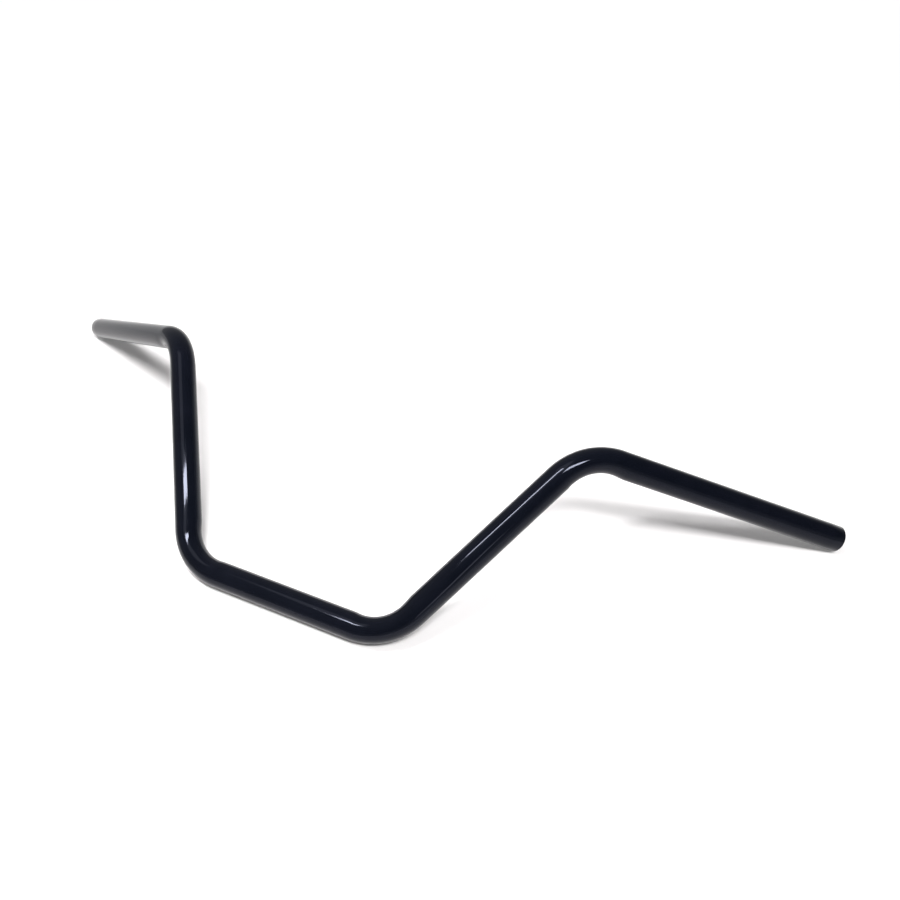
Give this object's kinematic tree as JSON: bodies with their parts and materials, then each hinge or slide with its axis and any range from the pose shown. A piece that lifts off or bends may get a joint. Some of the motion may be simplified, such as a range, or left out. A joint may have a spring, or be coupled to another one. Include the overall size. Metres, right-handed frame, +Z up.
{
  "type": "handlebar",
  "caption": "Tracker handlebar bent from round steel tube: straight clamp section, slanting risers and swept-back grip ends, in gloss black.",
  "frame": {"origin": "middle of the straight clamp section, on the tube's axis", "axes": "+X along the clamp section, towards the right grip; +Y from the clamp section towards the grips; +Z up from the floor on which the bar lies"},
  "size_m": [0.8054, 0.258, 0.1095],
  "materials": {
    "gloss_black_coat": "gloss"
  },
  "bodies": {
    "root": {"handlebar_tube": "gloss_black_coat"}
  },
  "joints": []
}
